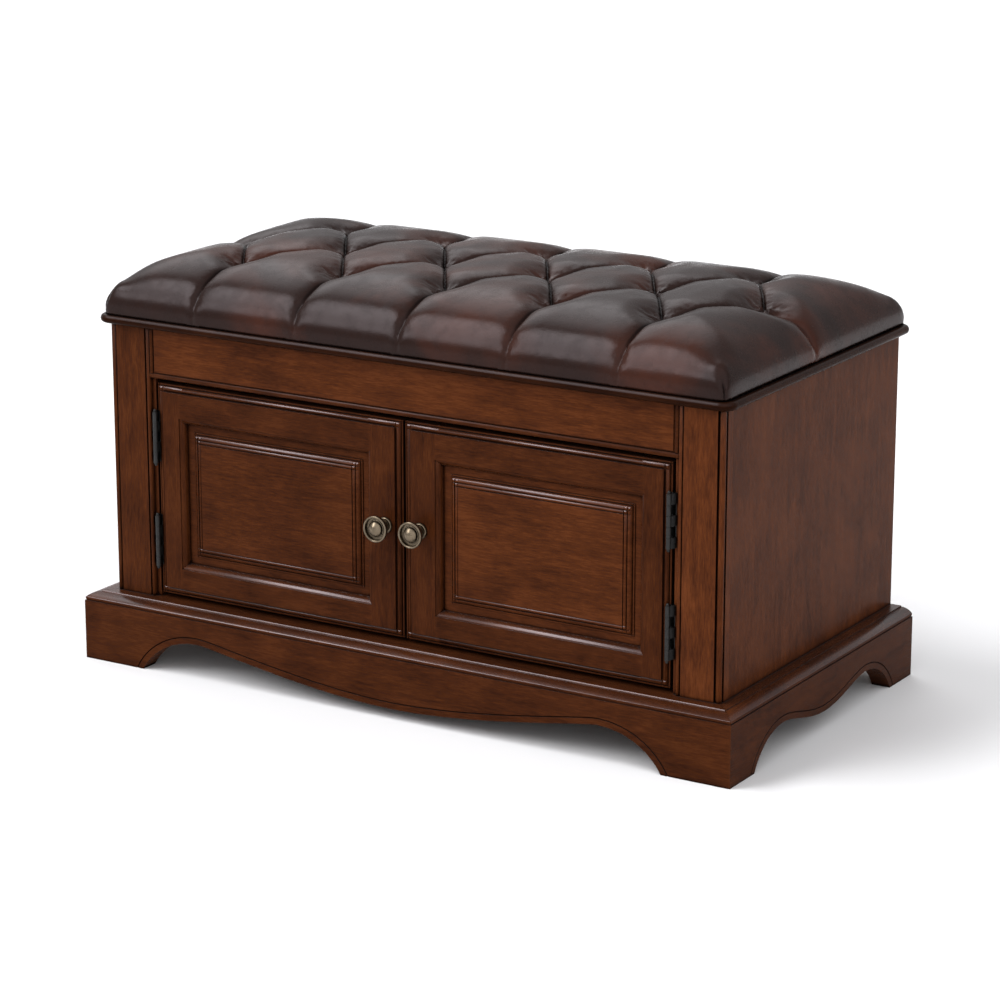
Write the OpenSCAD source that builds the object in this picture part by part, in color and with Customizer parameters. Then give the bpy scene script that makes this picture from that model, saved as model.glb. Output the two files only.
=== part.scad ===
// Two-door storage bench with a tufted seat, millimetres.
// Origin: middle of the overall footprint, on the floor. +X right, +Y to the back, +Z up.

/* [Plinth] */
// Width of the plinth
plinth_w = 820; // [780:5:900]
// Depth of the plinth
plinth_d = 430; // [410:5:470]
// Height of the apron boards
apron_h = 69; // [64:1:84]
// Thickness of the apron boards
apron_t = 22; // [18:1:26]
// Height of the moulded base frame on the aprons
base_h = 9; // [8.5:0.5:12]
// Width of a foot at the floor, seen from the front
front_foot = 80; // [64:1:100]
// Width of a foot at the floor, seen from the side
side_foot = 54; // [46:1:66]
// Floor clearance in the middle of the front apron
front_clearance = 12; // [9:1:20]
// Floor clearance in the middle of a side apron
side_clearance = 20.5; // [14:0.5:26]
// Floor clearance at the highest point of the aprons
peak_clearance = 40; // [32:1:46]

/* [Case] */
// How far the case stands in from the front and sides of the plinth
case_inset = 27; // [24:1:34]
// Height of the case above the plinth
case_h = 308; // [300:1:360]
// Thickness of the case panels
panel_t = 18; // [15:1:20]
// Width of the face of each pilaster
pilaster_w = 52; // [46:1:60]
// Height of the fascia above the doors, with its bead
fascia_h = 57.5; // [50:0.5:75]

/* [Doors] */
// Thickness of the doors
door_t = 20; // [19:0.5:22]
// Width of the lock stiles, over both mouldings
lock_stile_w = 45; // [42:0.5:52]
// Width of the hinge stiles, over both mouldings
hinge_stile_w = 36; // [34:0.5:44]
// Width of the top rails, over both mouldings
top_rail_w = 42.5; // [38:0.5:50]
// Width of the bottom rails, over both mouldings
bottom_rail_w = 37.5; // [35:0.5:46]
// Gap between a door and the pilaster at its lip
door_gap = 8.4; // [7:0.2:9]
// Gap between the doors and the fascia
top_gap = 5; // [4.5:0.5:8]
// Gap between the two doors
middle_gap = 3.2; // [2.6:0.2:4]
// Gap between the doors and the plinth
bottom_gap = 5.4; // [4:0.2:8]
// Diameter of the knobs
knob_d = 29; // [26:1:33]
// How far the knobs stand out from the doors
knob_reach = 25; // [22:1:26]

/* [Seat] */
// Thickness of the bullnose seat board
board_t = 9.5; // [9:0.5:14]
// Overhang of the seat board round the case
board_overhang = 12; // [8:1:16]
// Corner radius of the seat board in plan
board_corner = 16; // [12:1:24]
// Height of the cushion above the seat board
cushion_h = 76; // [60:1:90]
// Spacing of the tufts along a row
tuft_pitch = 132; // [124:1:134]
// Distance between the rows of tufts
row_pitch = 104; // [92:1:108]

/* [Hidden] */
$fn = 64;
eps = 0.01;

// Frame of the whole bench
overall_d = plinth_d + board_overhang;
front_y = -overall_d / 2;
back_y = front_y + plinth_d;
plinth_x = plinth_w / 2;
plinth_top = apron_h + base_h;
case_x = plinth_x - case_inset;
face_y = front_y + case_inset;
case_top = plinth_top + case_h;
inner_x = case_x - panel_t;
quirk = 1.3;

// Plinth
back_apron_t = 18;
back_apron_lift = 25;
bead_w = 6.5;
base_w = 75;
base_screw_l = 22;
block_size = 32;

// Face frame and the doors in it
frame_t = 18;
rebate = 5;
rebate_d = 5;
opening_x = case_x - pilaster_w;
opening_top = case_top - fascia_h;
jamb_x = opening_x - rebate;
bead_h = 6;
fascia_inset = 0.6;
corner_bead_r = 3.2;
door_x0 = middle_gap / 2;
door_x1 = opening_x - door_gap;
door_z0 = plinth_top + bottom_gap;
door_z1 = opening_top - top_gap;
door_back_y = face_y + door_t;
lip_w = 1.5;
lip_d = 5.2;
edge_bead_r = 2.9;
edge_w = lip_w + 2 * edge_bead_r + 1.1;
stick_w = 6;
stick_d = 6.4;
stick_r = 5.4;
groove_d = 8;
tongue_t = 6;
panel_level = 9;
tongue_w = 7;
panel_margin = 9;
field_level = 3.4;
field_mould = 11.5;
lock_stick_x = door_x0 + lock_stile_w - stick_w;
hinge_stick_x = door_x1 - hinge_stile_w + stick_w;
panel_low = [door_x0 + lock_stile_w, door_z0 + bottom_rail_w];
panel_high = [door_x1 - hinge_stile_w, door_z1 - top_rail_w];

// Hardware
barrel_r = 2.6;
pin_r = 1.25;
pin_play = 0.05;
hinge_h = 58;
knuckles = 5;
knuckle_gap = 0.3;
leaf_t = 1.4;
hinge_x = door_x1;
hinge_y = face_y - 3;
leaf_back_y = door_back_y - 3;
hinge_z = [door_z0 + 60.8, door_z1 - 60.7];
leaf_play = 0.1;
hinge_screw_r = 1.4;
hinge_screw_l = 14;
hinge_screw_z = [-20, 0, 20];
knob_x = door_x0 + 20.4;
knob_z = (door_z0 + door_z1) / 2 + 3.5;
knob_screw_r = 2;
catch_size = [26, 22, 15];
catch_x = door_x0 + 22;
strike_t = 1.2;

// Inside the case
rail_stop_z = opening_top - 18.5;
rail_t = 18;
stretcher_w = 60;
back_t = 6;
shelf_t = 15;
shelf_d = 362;
shelf_z = (plinth_top + panel_t + rail_stop_z) / 2 - shelf_t / 2;
pin_hole_r = 2.5;
pin_hole_depth = 9;
pin_hole_step = 32;
pin_y = [face_y + 60, back_y - 60];

// Seat
board_x = case_x + board_overhang;
board_y0 = face_y - board_overhang;
board_y1 = back_y + board_overhang;
board_top = case_top + board_t;
seat_mid_y = (board_y0 + board_y1) / 2;
cover_x = board_x - 6.5;
cover_half_d = (board_y1 - board_y0) / 2 - 3;
cover_corner = 14;
cover_t = 1.5;
deck_t = 12;
deck_z = board_top + cover_t + 0.2;
foam_z = deck_z + deck_t;
row_lead = 12;
tie_r = 1;
tie_top = board_top + cushion_h * 0.53;
toggle_r = 5;
toggle_t = 2;
seat_screw_r = 2;
seat_screw_x = [-260, 0, 260];

WALNUT = [0.27, 0.13, 0.08];
WALNUT_DARK = [0.16, 0.08, 0.05];
PLY = [0.62, 0.48, 0.33];
LEATHER = [0.17, 0.12, 0.10];
FOAM = [0.85, 0.80, 0.62];
BRONZE = [0.10, 0.09, 0.08];
PEWTER = [0.55, 0.50, 0.44];
STEEL = [0.60, 0.61, 0.63];

// ---------- helpers ----------

// Places a copy on the left (-1) or on the right (+1) of the middle plane.
module on_side(side) {
    if (side > 0) children();
    else mirror([1, 0, 0]) children();
}

// Extrudes an (x, z) outline from y0 to y0 + depth.
module extrude_y(y0, depth) {
    translate([0, y0 + depth, 0]) rotate([90, 0, 0]) linear_extrude(depth) children();
}

// Extrudes a (y, z) outline from x0 to x0 + depth.
module extrude_x(x0, depth) {
    translate([x0, 0, 0]) rotate([90, 0, 90]) linear_extrude(depth) children();
}

// A box between two corners.
module box(low, high) {
    translate(low) cube(high - low);
}

// A rectangle between two corners.
module rect(low, high) {
    translate(low) square(high - low);
}

// A pan-head screw along +Z: the head hangs below z = 0 and the shank runs up.
module pan_screw(r, length) {
    head_h = 1.2 * r;
    cylinder(h = length, r = r);
    translate([0, 0, -head_h]) cylinder(h = head_h, r = 2 * r);
}

// ---------- plinth ----------

// Point at t on a cubic Bezier curve.
function bezier(p, t) = pow(1 - t, 3) * p[0] + 3 * pow(1 - t, 2) * t * p[1]
    + 3 * (1 - t) * t * t * p[2] + t * t * t * p[3];

// Lower edge of an apron, from its middle over the peak and down the inside of the foot.
function apron_edge(half, peak, low, high, lead_in, lead_out) =
    let (
        belly = [[0, low], [lead_in * peak, low], [(1 - lead_out) * peak, high], [peak, high]],
        reach = half - peak,
        shoulder = [[peak, high], [peak + 0.58 * reach, high],
                    [half - 0.09 * reach, 0.33 * high], [half, 0]],
        steps = 10
    )
    concat(
        [for (i = [0 : steps - 1]) bezier(belly, i / steps)],
        [for (i = [0 : steps]) bezier(shoulder, i / steps)]
    );

// Unit normal of a path at point i, on its left-hand side.
function path_normal(path, i) =
    let (
        a = path[max(i - 1, 0)],
        b = path[min(i + 1, len(path) - 1)],
        d = (b - a) / norm(b - a)
    )
    [-d[1], d[0]];

// The path moved sideways by a distance, with its last point run on below the floor.
function path_beside(path, distance) =
    let (
        n = len(path) - 1,
        moved = [for (i = [0 : n]) path[i] + distance * path_normal(path, i)]
    )
    concat(moved, [moved[n] + 2 * (moved[n] - moved[n - 1])]);

function reversed(list) = [for (i = [len(list) - 1 : -1 : 0]) list[i]];
function mirrored(path) = [for (p = path) [-p[0], p[1]]];

// Apron board outline: straight ends and top, shaped lower edge.
module apron_outline(length, edge) {
    polygon(concat(
        mirrored(reversed(edge)), edge,
        [[length / 2, 0], [length / 2, apron_h], [-length / 2, apron_h], [-length / 2, 0]]
    ));
}

// The narrow groove that sets the bead off from the face of an apron.
module bead_groove(edge) {
    for (side = [-1, 1]) scale([side, 1]) polygon(concat(
        path_beside(edge, bead_w), reversed(path_beside(edge, bead_w + quirk))
    ));
}

module apron(length, edge, outside_y) {
    difference() {
        extrude_y(outside_y, apron_t) apron_outline(length, edge);
        extrude_y(outside_y - 1, quirk + 1) bead_groove(edge);
        extrude_y(outside_y - 1, quirk + 1) rect([-length, apron_h - quirk], [length, apron_h + 1]);
    }
}

front_edge = apron_edge(plinth_x - front_foot, 0.773 * (plinth_x - front_foot),
    front_clearance, peak_clearance + 0.5, 0.43, 0.08);
side_edge = apron_edge(plinth_d / 2 - side_foot, 0.606 * (plinth_d / 2 - side_foot),
    side_clearance, peak_clearance - 3, 0.41, 0.26);

module plinth_front() color(WALNUT) {
    intersection() {
        apron(plinth_w, front_edge, front_y);
        linear_extrude(apron_h) polygon([
            [-plinth_x, front_y], [plinth_x, front_y],
            [plinth_x - apron_t, front_y + apron_t], [-plinth_x + apron_t, front_y + apron_t]
        ]);
    }
}

module plinth_side(side) color(WALNUT) on_side(side) {
    intersection() {
        translate([plinth_x, front_y + plinth_d / 2, 0]) rotate(90) apron(plinth_d, side_edge, 0);
        linear_extrude(apron_h) polygon([
            [plinth_x, front_y], [plinth_x, back_y],
            [plinth_x - apron_t, back_y], [plinth_x - apron_t, front_y + apron_t]
        ]);
    }
}

// Plain board between the side aprons; its middle comes up between the base frame strips.
module plinth_back() color(WALNUT_DARK) {
    y0 = back_y - back_apron_t;
    box([-plinth_x + apron_t, y0, back_apron_lift], [plinth_x - apron_t, back_y, apron_h]);
    box([-plinth_x + base_w, y0, back_apron_lift], [plinth_x - base_w, back_y, plinth_top]);
}

module corner_blocks() color(PLY) {
    block_x = plinth_x - apron_t - block_size;
    block_y = [front_y + apron_t, back_y - back_apron_t - block_size];
    for (side = [-1, 1]) on_side(side) for (y = block_y)
        box([block_x, y, back_apron_lift], [block_x + block_size, y + block_size, apron_h]);
}

// Base frame moulding: u runs in from the outer edge, v runs up from the aprons.
module base_profile() {
    ledge = 0.8;
    fillet = 2.5;
    run = 13.2;
    rise = base_h - 1 - fillet;
    r = (run * run + rise * rise) / (2 * rise);
    rect([ledge + run, 0], [base_w, base_h]);
    intersection() {
        rect([ledge, 0], [ledge + run + eps, base_h - 1]);
        translate([ledge + run, base_h - 1 - r]) circle(r = r, $fn = 128);
    }
}

module base_front() color(WALNUT) {
    intersection() {
        extrude_x(-plinth_x, plinth_w) translate([front_y, apron_h]) base_profile();
        linear_extrude(plinth_top) polygon([
            [-plinth_x, front_y], [plinth_x, front_y],
            [plinth_x - base_w, front_y + base_w], [-plinth_x + base_w, front_y + base_w]
        ]);
    }
}

module base_side(side) color(WALNUT) on_side(side) {
    difference() {
        intersection() {
            extrude_y(front_y, plinth_d) translate([plinth_x, apron_h]) mirror([1, 0]) base_profile();
            linear_extrude(plinth_top) polygon([
                [plinth_x, front_y], [plinth_x, back_y],
                [plinth_x - base_w, back_y], [plinth_x - base_w, front_y + base_w]
            ]);
        }
        base_screw_places() cylinder(h = plinth_top, r = seat_screw_r);
    }
}

// Where screws pass up through the side strips of the base frame into the bottom board.
module base_screw_places() {
    for (y = [-110, 0, 110]) translate([inner_x - 12, y, 0]) children();
}

module base_screws() color(STEEL) {
    for (side = [-1, 1]) on_side(side) base_screw_places()
        translate([0, 0, apron_h]) pan_screw(seat_screw_r, base_screw_l);
}

// ---------- case ----------

module side_panel(side) color(WALNUT) on_side(side) {
    difference() {
        box([inner_x, face_y + frame_t, plinth_top], [case_x, back_y, case_top]);
        box([inner_x - 1, back_y - back_t, plinth_top - 1],
            [inner_x + panel_t / 2, back_y + 1, case_top + 1]);
        for (y = pin_y, step = [-1, 0, 1])
            translate([inner_x - 1, y, shelf_z - pin_hole_r + step * pin_hole_step])
                rotate([0, 90, 0]) cylinder(h = pin_hole_depth + 1, r = pin_hole_r);
    }
}

module bottom_board() color(WALNUT_DARK) {
    difference() {
        box([-inner_x, door_back_y + 0.5, plinth_top], [inner_x, back_y - back_t, plinth_top + panel_t]);
        for (side = [-1, 1]) on_side(side) base_screw_places()
            cylinder(h = apron_h + base_screw_l, r = seat_screw_r);
    }
}

module back_panel() color(WALNUT_DARK)
    box([-inner_x - panel_t / 2, back_y - back_t, plinth_top], [inner_x + panel_t / 2, back_y, case_top]);

// Plan section of the right-hand pilaster, with the step that the door closes beside.
module pilaster_section() {
    inner_bead_r = 2.2;
    difference() {
        rect([jamb_x, face_y], [case_x, face_y + frame_t]);
        rect([jamb_x - 1, face_y - 1], [opening_x, face_y + rebate_d]);
        rect([opening_x - 1, face_y - 1], [opening_x + 2 * inner_bead_r + quirk, face_y + inner_bead_r]);
        rect([case_x - 2 * corner_bead_r - quirk, face_y - 1], [case_x + 1, face_y + corner_bead_r]);
        rect([case_x - corner_bead_r, face_y - 1], [case_x + 1, face_y + 2 * corner_bead_r + quirk]);
    }
    translate([opening_x + inner_bead_r, face_y + inner_bead_r - 0.4]) circle(r = inner_bead_r);
    translate([case_x - corner_bead_r, face_y + corner_bead_r]) circle(r = corner_bead_r);
}

module pilaster(side) color(WALNUT) on_side(side) {
    difference() {
        translate([0, 0, plinth_top]) linear_extrude(case_h) pilaster_section();
        hinge_places() {
            box([jamb_x - 1, face_y + rebate_d - 1, -hinge_h / 2 - leaf_play],
                [jamb_x + leaf_t, leaf_back_y + leaf_play, hinge_h / 2 + leaf_play]);
            case_leaf_screws() cylinder(h = hinge_screw_l, r = hinge_screw_r);
        }
    }
}

// The fascia, with a narrow groove beside its bead and a step at the back that carries the bead.
module fascia() color(WALNUT) {
    z0 = opening_top + bead_h;
    face = face_y + fascia_inset;
    difference() {
        box([-jamb_x, face, z0], [jamb_x, face_y + frame_t, case_top]);
        extrude_y(face - 1, 1 + quirk) difference() {
            rect([-jamb_x - 1, z0 - 1], [jamb_x + 1, case_top + 1]);
            rect([-jamb_x + quirk, z0 + quirk], [jamb_x - quirk, case_top + 2]);
        }
    }
    box([-jamb_x, face_y + rebate_d, opening_top], [jamb_x, face_y + frame_t, z0]);
}

// A half-round nose, width wide, on a strip that fills the step behind it.
module bead_section(width) {
    r = width / 2;
    intersection() {
        union() {
            translate([r, r]) circle(r = r);
            rect([0, r], [width, rebate_d + r]);
        }
        rect([0, 0], [width, rebate_d]);
    }
}

// The bead round the fascia: down both ends and along the top of the door opening.
module fascia_bead() color(WALNUT) {
    extrude_x(-opening_x, 2 * opening_x)
        translate([face_y, opening_top]) mirror([1, -1]) bead_section(bead_h);
    for (side = [-1, 1]) on_side(side)
        translate([jamb_x, face_y, opening_top + bead_h])
            linear_extrude(fascia_h - bead_h) bead_section(rebate);
}

module door_stop_rail() color(WALNUT_DARK) {
    y0 = door_back_y + 0.5;
    difference() {
        box([-inner_x, y0, rail_stop_z], [inner_x, y0 + rail_t, case_top - panel_t]);
        catch_screw_places() translate([0, 0, -eps]) cylinder(h = 10, r = hinge_screw_r);
    }
}

// Front (y0 at the face frame) or back stretcher under the seat board.
module stretcher(y0) color(WALNUT_DARK) {
    difference() {
        box([-inner_x, y0, case_top - panel_t], [inner_x, y0 + stretcher_w, case_top]);
        seat_screw_places() cylinder(h = case_top + 1, r = seat_screw_r);
    }
}

module shelf() color(WALNUT)
    box([-inner_x + 1, back_y - back_t - 1 - shelf_d, shelf_z],
        [inner_x - 1, back_y - back_t - 1, shelf_z + shelf_t]);

module shelf_pins() color(STEEL) {
    for (side = [-1, 1]) on_side(side) for (y = pin_y)
        translate([inner_x - 8, y, shelf_z - pin_hole_r])
            rotate([0, 90, 0]) cylinder(h = 8 + pin_hole_depth, r = pin_hole_r);
}

// ---------- seat ----------

// Plan outline of a rectangle with round corners, centred under the seat.
module seat_outline(half_w, half_d, corner) {
    for (x = [-1, 1], y = [-1, 1])
        translate([x * (half_w - corner), seat_mid_y + y * (half_d - corner)]) circle(r = corner);
    rect([-half_w + corner, seat_mid_y - half_d], [half_w - corner, seat_mid_y + half_d]);
    rect([-half_w, seat_mid_y - half_d + corner], [half_w, seat_mid_y + half_d - corner]);
}

// Bullnose section: u runs outwards from the corner centre to the tip of the nose.
module nose_section() {
    r = board_t / 2;
    rect([0, 0], [board_corner - r, board_t]);
    intersection() {
        translate([board_corner - r, r]) circle(r = r);
        rect([board_corner - r, 0], [board_corner, board_t]);
    }
}

module seat_board() color(WALNUT_DARK) {
    core_x = board_x - board_corner;
    core_d = (board_y1 - board_y0) / 2 - board_corner;
    difference() {
        translate([0, seat_mid_y, case_top]) {
            box([-core_x, -core_d, 0], [core_x, core_d, board_t]);
            for (turn = [0, 180]) rotate(turn) {
                extrude_y(-core_d, 2 * core_d) translate([core_x, 0]) nose_section();
                extrude_x(-core_x, 2 * core_x) translate([core_d, 0]) nose_section();
                translate([core_x, core_d, 0]) rotate_extrude(angle = 90) nose_section();
                translate([core_x, -core_d, 0]) rotate(-90) rotate_extrude(angle = 90) nose_section();
            }
        }
        seat_screw_places() cylinder(h = board_top + 1, r = seat_screw_r);
    }
}

// Where screws go up through the stretchers into the seat.
module seat_screw_places() {
    for (x = seat_screw_x, y = [face_y + frame_t + 35, back_y - back_t - 30])
        translate([x, y, 0]) children();
}

module seat_screws() color(STEEL)
    seat_screw_places() translate([0, 0, case_top - panel_t])
        pan_screw(seat_screw_r, panel_t + board_t + deck_t - 2);

// Where the ties pull the leather down: three staggered rows, the middle one with one more,
// all a little nearer the front than the back.
module tuft_places() {
    for (row = [-1, 0, 1]) {
        count = row == 0 ? 6 : 5;
        for (i = [0 : count - 1])
            translate([(i - (count - 1) / 2) * tuft_pitch, seat_mid_y - row_lead + row * row_pitch, 0])
                children();
    }
}

module seat_deck() color(PLY) {
    difference() {
        translate([0, 0, deck_z]) linear_extrude(deck_t)
            seat_outline(cover_x - 2.5, cover_half_d - 2.5, cover_corner);
        seat_screw_places() cylinder(h = deck_z + deck_t, r = seat_screw_r);
        tuft_places() cylinder(h = deck_z + deck_t + 1, r = tie_r);
    }
}

// Closed crowned form of the cushion, shrunk by an inset on every side.
module cushion_form(z0, inset) {
    layers = [[0, 0.22], [22, 0.53], [60, 0.82], [104, 0.97], [130, 1]];
    top = cushion_h - inset;
    hull() {
        translate([0, 0, z0]) linear_extrude(1)
            seat_outline(cover_x - inset, cover_half_d - inset, cover_corner, $fn = 24);
        for (layer = layers) translate([0, 0, board_top + top * layer[1] - 1]) linear_extrude(1)
            seat_outline(cover_x - inset - layer[0], cover_half_d - inset - layer[0],
                cover_corner, $fn = 24);
    }
}

module cushion_foam() color(FOAM) {
    difference() {
        cushion_form(foam_z, cover_t + 0.3);
        tuft_places() cylinder(h = board_top + cushion_h, r = toggle_r + 0.4);
    }
}

module cushion_cover() color(LEATHER) {
    turn_under = 32;
    difference() {
        cushion_form(board_top, 0);
        cushion_form(deck_z - 0.1, cover_t);
        translate([0, 0, board_top - 1]) linear_extrude(4)
            seat_outline(cover_x - turn_under, cover_half_d - turn_under, 4);
    }
}

module tuft_ties() color(FOAM) {
    tuft_places() {
        translate([0, 0, deck_z]) cylinder(h = tie_top - deck_z, r = tie_r);
        translate([0, 0, tie_top - toggle_t]) cylinder(h = toggle_t, r = toggle_r);
    }
}

// ---------- hinges and catches ----------

// The middle of each hinge, at height z, in the frame of the bench.
module hinge_places() {
    for (z = hinge_z) translate([0, 0, z]) children();
}

// Screw axes in the case leaf: heads at the jamb face, shanks into the pilaster.
module case_leaf_screws() {
    for (z = hinge_screw_z) translate([jamb_x, face_y + 12, z]) rotate([0, 90, 0]) children();
}

// Screw axes in the door leaf: heads in the gap, shanks into the edge of the door.
module door_leaf_screws() {
    for (z = hinge_screw_z) translate([door_x1, face_y + 12, z]) rotate([0, -90, 0]) children();
}

// One countersunk screw along +Z with its head flush at z = 0.
module leaf_screw() {
    head_r = 2.6;
    cylinder(h = leaf_t, r1 = head_r, r2 = hinge_screw_r);
    translate([0, 0, leaf_t - eps]) cylinder(h = hinge_screw_l - leaf_t, r = hinge_screw_r);
}

// Every second knuckle of the barrel, starting from the first one given.
module knuckle_row(first) {
    pitch = hinge_h / knuckles;
    for (i = [first : 2 : knuckles - 1])
        translate([0, 0, -hinge_h / 2 + i * pitch + knuckle_gap / 2])
            linear_extrude(pitch - knuckle_gap) children();
}

module barrel_bore() translate([hinge_x, hinge_y, -hinge_h])
    cylinder(h = 2 * hinge_h, r = pin_r + pin_play);

module hinge_case_leaves() color(BRONZE) {
    for (side = [-1, 1]) on_side(side) hinge_places() difference() {
        union() {
            box([jamb_x, face_y + rebate_d, -hinge_h / 2], [jamb_x + leaf_t, leaf_back_y, hinge_h / 2]);
            knuckle_row(0) {
                translate([hinge_x, hinge_y]) circle(r = barrel_r);
                polygon([
                    [jamb_x, face_y + rebate_d + 1], [jamb_x, face_y + 4],
                    [hinge_x + 0.6, hinge_y + 2.3], [hinge_x + 2.4, hinge_y + 0.9],
                    [jamb_x + leaf_t, face_y + 2.6], [jamb_x + leaf_t, face_y + rebate_d + 1]
                ]);
            }
        }
        barrel_bore();
        case_leaf_screws() leaf_screw();
    }
}

module door_hinge_leaves(side) color(BRONZE) on_side(side) hinge_places() difference() {
    union() {
        box([door_x1 - leaf_t, face_y + lip_d, -hinge_h / 2], [door_x1, leaf_back_y, hinge_h / 2]);
        knuckle_row(1) {
            translate([hinge_x, hinge_y]) circle(r = barrel_r);
            rect([door_x1 - leaf_t, hinge_y + pin_r + 0.4], [door_x1, face_y + lip_d + 1]);
        }
    }
    barrel_bore();
    door_leaf_screws() leaf_screw();
}

module hinge_pins() color(BRONZE) {
    for (side = [-1, 1]) on_side(side) hinge_places() translate([hinge_x, hinge_y, 0]) {
        cylinder(h = hinge_h, r = pin_r, center = true);
        for (end = [0, 180]) rotate([end, 0, 0]) translate([0, 0, (hinge_h - knuckle_gap) / 2]) {
            cylinder(h = 0.7, r = 2);
            translate([0, 0, 1.7]) sphere(r = 1.7);
        }
    }
}

module hinge_case_screws() color(BRONZE)
    for (side = [-1, 1]) on_side(side) hinge_places() case_leaf_screws() leaf_screw();

module door_hinge_screws(side) color(BRONZE)
    on_side(side) hinge_places() door_leaf_screws() leaf_screw();

module catches() color(BRONZE) {
    y0 = door_back_y + strike_t + 0.4;
    for (side = [-1, 1]) on_side(side)
        difference() {
            translate([catch_x - catch_size[0] / 2, y0, rail_stop_z - catch_size[2]]) cube(catch_size);
            catch_screw_axes() translate([0, 0, -30]) cylinder(h = 31, r = hinge_screw_r);
        }
}

// Screw axes of the catches on the right-hand side, up into the door stop rail.
module catch_screw_axes() {
    for (dx = [-8, 8]) translate([catch_x + dx, door_back_y + 12, rail_stop_z]) children();
}

module catch_screw_places() {
    for (side = [-1, 1]) on_side(side) catch_screw_axes() children();
}

module catch_screws() color(STEEL)
    catch_screw_places() translate([0, 0, -catch_size[2]]) pan_screw(hinge_screw_r, catch_size[2] + 9);

// ---------- doors ----------

// Moulded outer edge of a door, a lip and a bead: u runs in from the edge, v back from the face.
module edge_cut() {
    bead_x = lip_w + 1 + edge_bead_r;
    bead_v = lip_d - 0.6;
    difference() {
        rect([-1, -1], [edge_w, lip_d]);
        rect([-2, lip_d - 0.9], [lip_w, lip_d + 1]);
        translate([bead_x, bead_v]) circle(r = edge_bead_r);
        rect([bead_x, bead_v - edge_bead_r + 0.9], [edge_w + 1, lip_d + 1]);
    }
}

// Sticking round the panel: u runs from its quirk towards the opening.
module stick_cut() {
    difference() {
        rect([0, -1], [stick_w + 1, stick_d]);
        translate([0, stick_d]) circle(r = stick_r);
    }
}

// Raised field of a panel: u runs in from the outer edge of its moulding.
module field_cut() {
    ovolo_x = 6.4;
    bead_r = 1.9;
    difference() {
        rect([-tongue_w - panel_margin - 1, -1], [field_mould, panel_level]);
        rect([0, panel_level - 1.3], [1.4, panel_level + 1]);
        rect([1.4, panel_level - 0.6], [field_mould + 1, panel_level + 1]);
        intersection() {
            translate([ovolo_x, panel_level - 0.8]) circle(r = 3.9);
            rect([0, 0], [ovolo_x, panel_level + 1]);
        }
        rect([ovolo_x, panel_level - 3.6], [field_mould + 1, panel_level + 1]);
        translate([field_mould - bead_r - 0.2, field_level + bead_r]) circle(r = bead_r);
    }
}

// Runs a (u, v) moulding along the left, right, lower and upper side of a rectangle in the face.
module along_sides(low, high, over) {
    for (side = [0, 1]) {
        translate([side == 0 ? low[0] : high[0], face_y, low[1] - over])
            linear_extrude(high[1] - low[1] + 2 * over) mirror([side, 0]) children();
        extrude_x(low[0] - over, high[0] - low[0] + 2 * over)
            translate([face_y, side == 0 ? low[1] : high[1]])
                mirror([0, side]) mirror([1, -1]) children();
    }
}

// A full-height upright of the right-hand door, moulded on its inner and outer edge.
module stile_blank(x0, x1, stick_x, towards) {
    difference() {
        box([x0, face_y, door_z0], [x1, door_back_y, door_z1]);
        along_sides([door_x0, door_z0], [door_x1, door_z1], 1) edge_cut();
        translate([stick_x, face_y, door_z0 - 1]) linear_extrude(door_z1 - door_z0 + 2)
            mirror([towards > 0 ? 0 : 1, 0]) stick_cut();
    }
}

module lock_stile_blank() stile_blank(door_x0, panel_low[0], lock_stick_x, 1);
module hinge_stile_blank() stile_blank(panel_high[0], door_x1, hinge_stick_x, -1);

// Groove for the panel, on the inside of all four frame members.
module panel_groove() {
    box([panel_low[0] - groove_d, face_y + panel_level, door_z0 - 1],
        [panel_high[0] + groove_d, face_y + panel_level + tongue_t, door_z1 + 1]);
}

module lock_stile(side) color(WALNUT) on_side(side) {
    difference() {
        lock_stile_blank();
        panel_groove();
        translate([knob_x, door_back_y + 1, knob_z])
            rotate([90, 0, 0]) cylinder(h = door_t + 2, r = knob_screw_r);
        strike_screw_axis() cylinder(h = 10, r = hinge_screw_r);
    }
}

module hinge_stile(side) color(WALNUT) on_side(side) {
    difference() {
        hinge_stile_blank();
        panel_groove();
        hinge_places() {
            box([door_x1 - leaf_t, face_y + lip_d - 1, -hinge_h / 2 - leaf_play],
                [door_x1 + 1, leaf_back_y + leaf_play, hinge_h / 2 + leaf_play]);
            door_leaf_screws() cylinder(h = hinge_screw_l, r = hinge_screw_r);
        }
    }
}

// Top or bottom rail of the right-hand door, coped over the sticking of the stiles.
module rail(side, is_top) color(WALNUT) on_side(side) {
    rail_w = is_top ? top_rail_w : bottom_rail_w;
    z0 = is_top ? panel_high[1] : door_z0;
    x0 = lock_stick_x;
    x1 = hinge_stick_x;
    difference() {
        box([x0, face_y, z0], [x1, door_back_y, z0 + rail_w]);
        along_sides([door_x0, door_z0], [door_x1, door_z1], 1) edge_cut();
        extrude_x(x0 - 1, x1 - x0 + 2) translate([face_y, z0 + (is_top ? stick_w : rail_w - stick_w)])
            mirror([0, is_top ? 1 : 0]) mirror([1, -1]) stick_cut();
        box([x0 - 1, face_y + panel_level, z0 + (is_top ? -1 : rail_w - groove_d)],
            [x1 + 1, face_y + panel_level + tongue_t, z0 + (is_top ? groove_d : rail_w + 1)]);
        lock_stile_blank();
        hinge_stile_blank();
    }
    box([panel_low[0] - tongue_w, face_y + panel_level + 0.1, z0 + groove_d],
        [panel_high[0] + tongue_w, face_y + panel_level + tongue_t - 0.1, z0 + rail_w - groove_d]);
}

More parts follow.
